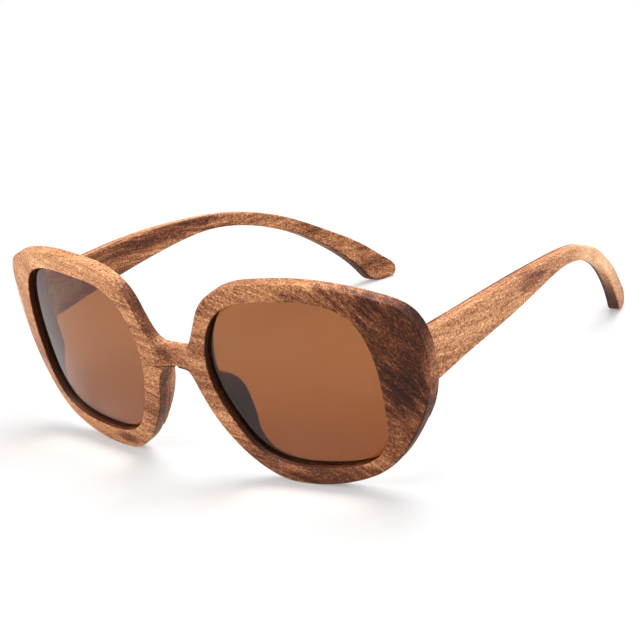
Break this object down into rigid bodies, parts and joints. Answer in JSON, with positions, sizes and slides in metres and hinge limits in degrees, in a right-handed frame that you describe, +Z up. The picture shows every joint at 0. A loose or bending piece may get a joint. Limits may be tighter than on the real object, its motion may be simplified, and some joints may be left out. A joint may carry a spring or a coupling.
{
  "type": "sunglasses",
  "caption": "Oversized sunglasses with a laminated wooden front, large tinted lenses, wooden nose pads and bent wooden temples on barrel hinges.",
  "frame": {"origin": "middle of the footprint of the open sunglasses, on the table they stand on", "axes": "+X to the wearer's left, the front faces -Y, the temples run back along +Y, +Z up"},
  "size_m": [0.148, 0.164, 0.0608],
  "materials": {
    "face_veneer": "oiled veneer, satin",
    "core_ply": "sanded ply edge",
    "back_ply": "oiled veneer, satin",
    "carved_wood": "sanded and oiled",
    "temple_veneer": "oiled veneer, satin",
    "lining_veneer": "oiled veneer, satin",
    "tinted_lens": "polished, brown tint",
    "hinge_steel": "brushed",
    "screw_steel": "polished"
  },
  "bodies": {
    "front": {"front_face_ply": "face_veneer", "front_core_ply": "core_ply", "front_back_ply": "back_ply", "lens_left": "tinted_lens", "nose_pad_left": "carved_wood", "end_block_left": "carved_wood", "hinge_front_leaf_left": "hinge_steel", "hinge_screw_left": "screw_steel", "front_leaf_screws_left": "screw_steel", "lens_right": "tinted_lens", "nose_pad_right": "carved_wood", "end_block_right": "carved_wood", "hinge_front_leaf_right": "hinge_steel", "hinge_screw_right": "screw_steel", "front_leaf_screws_right": "screw_steel"},
    "temple_left": {"temple_outer_ply_left": "temple_veneer", "temple_inner_ply_left": "lining_veneer", "hinge_temple_leaf_left": "hinge_steel", "temple_leaf_screws_left": "screw_steel"},
    "temple_right": {"temple_outer_ply_right": "temple_veneer", "temple_inner_ply_right": "lining_veneer", "hinge_temple_leaf_right": "hinge_steel", "temple_leaf_screws_right": "screw_steel"}
  },
  "joints": [
    {"name": "fold_left", "type": "hinge", "parent": "front", "child": "temple_left", "pos_m": [0.066, -0.06038, 0.0382], "axis": [0, 0, 1], "range_deg": [0, 82]},
    {"name": "fold_right", "type": "hinge", "parent": "front", "child": "temple_right", "pos_m": [-0.066, -0.06038, 0.0382], "axis": [0, 0, -1], "range_deg": [0, 74]}
  ]
}
